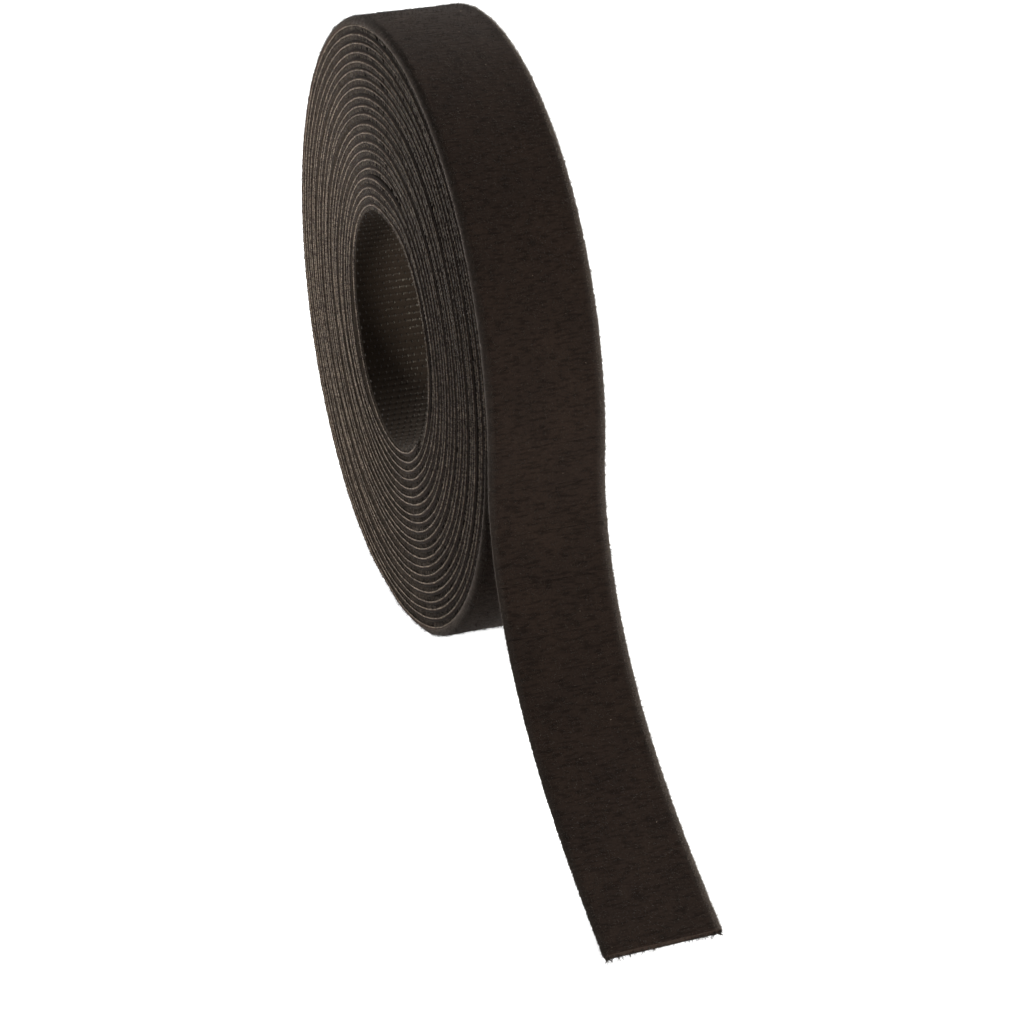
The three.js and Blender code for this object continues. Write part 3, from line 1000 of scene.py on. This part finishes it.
def dress_roll():
    pieces = []
    inner = Shape()
    add_coarse_loop_tape(inner, INNER_END, FIRST_TURN_END)
    add_fray(inner, INNER_END, -1, INNER_FRAY_SEED, FIBRE_SLOT, 0, LOOP_THICKNESS)
    pieces.append(inner.piece("roll_loop_tape", LOOP_LOOKS))
    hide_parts("wound_loop_tape")

    places = np.linspace(FIRST_TURN_END, TAIL_ROOT, OUTER_PARTS + 1)
    for part in range(OUTER_PARTS):
        outer = Shape()
        add_fine_loop_tape(outer, places[part], places[part + 1])
        pieces.append(outer.piece(f"roll_outer_turn_{part + 1}", LOOP_LOOKS))

    places = np.linspace(INNER_END, TAIL_ROOT, SELVEDGE_PARTS + 1)
    for side, name in SIDES:
        for part in range(SELVEDGE_PARTS):
            selvedge = Shape()
            add_selvedge(selvedge, places[part], places[part + 1], side)
            pieces.append(selvedge.piece(f"roll_selvedge_{name}_{part + 1}", LOOP_LOOKS))
        stitches = Shape()
        add_stitches(stitches, INNER_END, TAIL_ROOT, side)
        add_strays(stitches, INNER_END, TAIL_ROOT, side, STRAY_SEED + side)
        pieces.append(stitches.piece(f"roll_stitches_{name}", LOOP_LOOKS))

    places = np.linspace(FIRST_TURN_END, TAIL_ROOT, ARCH_PARTS + 1)
    for part in range(ARCH_PARTS):
        arches = Shape()
        add_arches(arches, places[part], places[part + 1], ROLL_ARCH_SEED + part)
        for side, _ in SIDES:
            add_haze(arches, places[part], places[part + 1], side, ROLL_HAZE_SEED + part)
        add_lint(arches, places[part], places[part + 1], ROLL_LINT_SEED + part)
        pieces.append(arches.piece(f"roll_pile_loops_{part + 1}", LOOP_LOOKS))

    hook_tape = Shape()
    add_hook_ground(hook_tape, even_steps(INNER_END, INNER_TURN_END, RIDGE_STEP), RIDGE_COLUMNS)
    add_hook_ground(hook_tape, coarse_steps(INNER_TURN_END, TAIL_ROOT))
    hooks = [hook_tape.piece("roll_hook_tape", HOOK_LOOKS)]
    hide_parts("wound_hook_tape")

    bore = Shape()
    first_row = INNER_END + HOOK_ROW_STEP / 2
    add_hooks(bore, first_row, INNER_TURN_END, ALL_COLUMNS, HOOK_STEPS, HOOK_SIDES)
    hooks.append(bore.piece("roll_bore_hooks", HOOK_LOOKS))
    side_hooks = Shape()
    add_hooks(side_hooks, INNER_TURN_END, TAIL_ROOT, EDGE_COLUMNS, SIDE_HOOK_STEPS, THIN_SIDES)
    hooks.append(side_hooks.piece("roll_side_hooks", HOOK_LOOKS))
    for piece in pieces + hooks:
        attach(piece, "wound_roll")


# The free end: one continuous tape, in stretches cut halfway between the hinges, each over one hinge
TAIL_ARCH_SEED, TAIL_HAZE_SEED, TAIL_LINT_SEED = 51, 101, 71
LOOP_FRAY_SEED, HOOK_FRAY_SEED = 22, 23


def hinge_places():
    """How far along the tape each hinge of the frame lies."""
    line = np.stack([TAIL_Y, TAIL_Z], -1)
    hinges = [np.array(joint["pos_m"][1:]) for joint in frame["joints"]]
    return [TAIL_ALONG[np.linalg.norm(line - hinge, axis=1).argmin()] for hinge in hinges]


def dress_tail():
    hinges = np.array(hinge_places() + [TAIL_LENGTH])
    middles = (hinges[:-1] + hinges[1:]) / 2
    seams = [TAIL_ROOT, *middles[:-1], TAIL_LENGTH]
    for part, joint in enumerate(frame["joints"]):
        start, end = seams[part], seams[part + 1]
        loop = Shape()
        add_fine_loop_tape(loop, start, end)
        for side, _ in SIDES:
            add_selvedge(loop, start, end, side)
            add_stitches(loop, start, end, side)
            add_haze(loop, start, end, side, TAIL_HAZE_SEED + part)
        add_arches(loop, start, end, TAIL_ARCH_SEED + part)
        add_lint(loop, start, end, TAIL_LINT_SEED + part)
        hook = Shape()
        add_hook_ground(hook, even_steps(start, end, RIDGE_STEP), RIDGE_COLUMNS)
        add_hooks(hook, start, end, ALL_COLUMNS, HOOK_STEPS, HOOK_SIDES)
        if end == TAIL_LENGTH:
            add_fray(loop, end, 1, LOOP_FRAY_SEED, FIBRE_SLOT, 0, LOOP_THICKNESS)
            add_fray(hook, end, 1, HOOK_FRAY_SEED, HOOK_STITCH_SLOT, LOOP_THICKNESS, GROUND_BOTTOM)
        span = [Vector(place(at, 0, 0)) for at in (start, middles[part])]
        for shape, kind, looks in ((loop, "loop", LOOP_LOOKS), (hook, "hook", HOOK_LOOKS)):
            piece = shape.piece(f"tail_{kind}_tape_{part + 1}", looks)
            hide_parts(f"tail_{kind}_{part + 1}")
            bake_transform(piece)


# The stage
FLOOR_SIZE = 6.0
FLOOR_COLOUR = (0.86, 0.86, 0.86)
FLOOR_ROUGHNESS = 0.9
WHITE = (1, 1, 1, 1)

# The floor's own glow, for the rays that see the background, and the world's light, for all others
FLOOR_SHARE = 0.85
WORLD_LIGHT = 0.16

# The lamps: azimuth and elevation in degrees, counted as the camera's are, distance and size in
# metres, and power in watts
LAMPS = {
    "left_lamp": (-118, -12, 0.15, 0.04, 0.46),
    "front_lamp": (19.5, 9, 0.9, 0.12, 7.2),
    "right_lamp": (130, 35, 0.9, 0.7, 16.0),
}


def background_share(tree):
    """1 for the rays that should meet the white background, and 0 for the rest."""
    rays = add_node(tree, "ShaderNodeLightPath").outputs
    through = combined(tree, rays["Is Glossy Ray"], rays["Is Transmission Ray"], "MAXIMUM")
    return combined(tree, rays["Is Camera Ray"], through, "MAXIMUM")


def make_floor():
    """A pale floor that keeps the roll's shadow, and is nearly white to look at."""
    bpy.ops.mesh.primitive_plane_add(size=FLOOR_SIZE, location=(0, 0, 0))
    floor = bpy.context.object
    floor.name = "floor"
    material = bpy.data.materials.new("pale_floor")
    material.use_nodes = True
    tree = material.node_tree
    shader = tree.nodes["Principled BSDF"]
    shader.inputs["Base Color"].default_value = (*FLOOR_COLOUR, 1)
    shader.inputs["Roughness"].default_value = FLOOR_ROUGHNESS
    share = combined(tree, background_share(tree), FLOOR_SHARE, "MULTIPLY")
    glow = add_node(tree, "ShaderNodeEmission", {"Color": WHITE, "Strength": share})
    both = add_node(tree, "ShaderNodeAddShader", {0: shader.outputs["BSDF"], 1: glow.outputs["Emission"]})
    tree.links.new(both.outputs["Shader"], tree.nodes["Material Output"].inputs["Surface"])
    floor.data.materials.append(material)


def make_world():
    world = bpy.data.worlds.new("studio")
    world.use_nodes = True
    tree = world.node_tree
    background = tree.nodes["Background"]
    background.inputs["Color"].default_value = WHITE
    strength = add_node(tree, "ShaderNodeMapRange", {"Value": background_share(tree), "To Min": WORLD_LIGHT})
    tree.links.new(strength.outputs["Result"], background.inputs["Strength"])
    bpy.context.scene.world = world


def direction(azimuth, elevation):
    """The way from the roll at angles in radians: azimuth from the front to the right, then up."""
    return Vector((math.sin(azimuth) * math.cos(elevation),
                   -math.cos(azimuth) * math.cos(elevation),
                   math.sin(elevation)))


def make_lamps():
    """Square lamps that face the roll's middle."""
    for name, (azimuth, elevation, distance, size, power) in LAMPS.items():
        back = direction(math.radians(azimuth), math.radians(elevation))
        lamp = bpy.data.lights.new(name, "AREA")
        lamp.size = size
        lamp.energy = power
        made = bpy.data.objects.new(name, lamp)
        made.location = Vector((0, 0, AXIS_HEIGHT)) + back * distance
        made.rotation_euler = back.to_track_quat("Z", "Y").to_euler()
        made.visible_camera = False
        bpy.context.scene.collection.objects.link(made)


# The camera, solved from the photograph: where it stands round the roll's left face, and its aim
CAMERA_AZIMUTH = -0.3071
CAMERA_ELEVATION = 0.5039
CAMERA_ROLL = 0.007
CAMERA_PAN = 0.0389
CAMERA_TILT = -0.0557
CAMERA_DISTANCE = 566.2 * MM
CAMERA_LENS = 113.2
SENSOR_WIDTH = 36.0
CLIP_START = 10 * MM


def make_camera():
    back = direction(CAMERA_AZIMUTH, CAMERA_ELEVATION)
    aim = -back
    right = aim.cross(Vector((0, 0, 1))).normalized()
    up = right.cross(aim)
    pan = Matrix.Rotation(-CAMERA_PAN, 3, up)
    aim, right = pan @ aim, pan @ right
    tilt = Matrix.Rotation(CAMERA_TILT, 3, right)
    aim, up = tilt @ aim, tilt @ up
    roll = Matrix.Rotation(-CAMERA_ROLL, 3, aim)
    right, up = roll @ right, roll @ up
    camera = bpy.data.objects.new("camera", bpy.data.cameras.new("camera"))
    camera.data.lens = CAMERA_LENS
    camera.data.sensor_width = SENSOR_WIDTH
    camera.data.clip_start = CLIP_START
    facing = Matrix((right, up, -aim)).transposed().to_4x4()
    facing.translation = Vector((-TAPE_WIDTH / 2, 0, AXIS_HEIGHT)) + back * CAMERA_DISTANCE
    camera.matrix_world = facing
    bpy.context.scene.collection.objects.link(camera)
    bpy.context.scene.camera = camera


make_camera()
dress_roll()
dress_tail()
make_floor()
make_world()
make_lamps()
bpy.context.scene.view_settings.view_transform = "Standard"
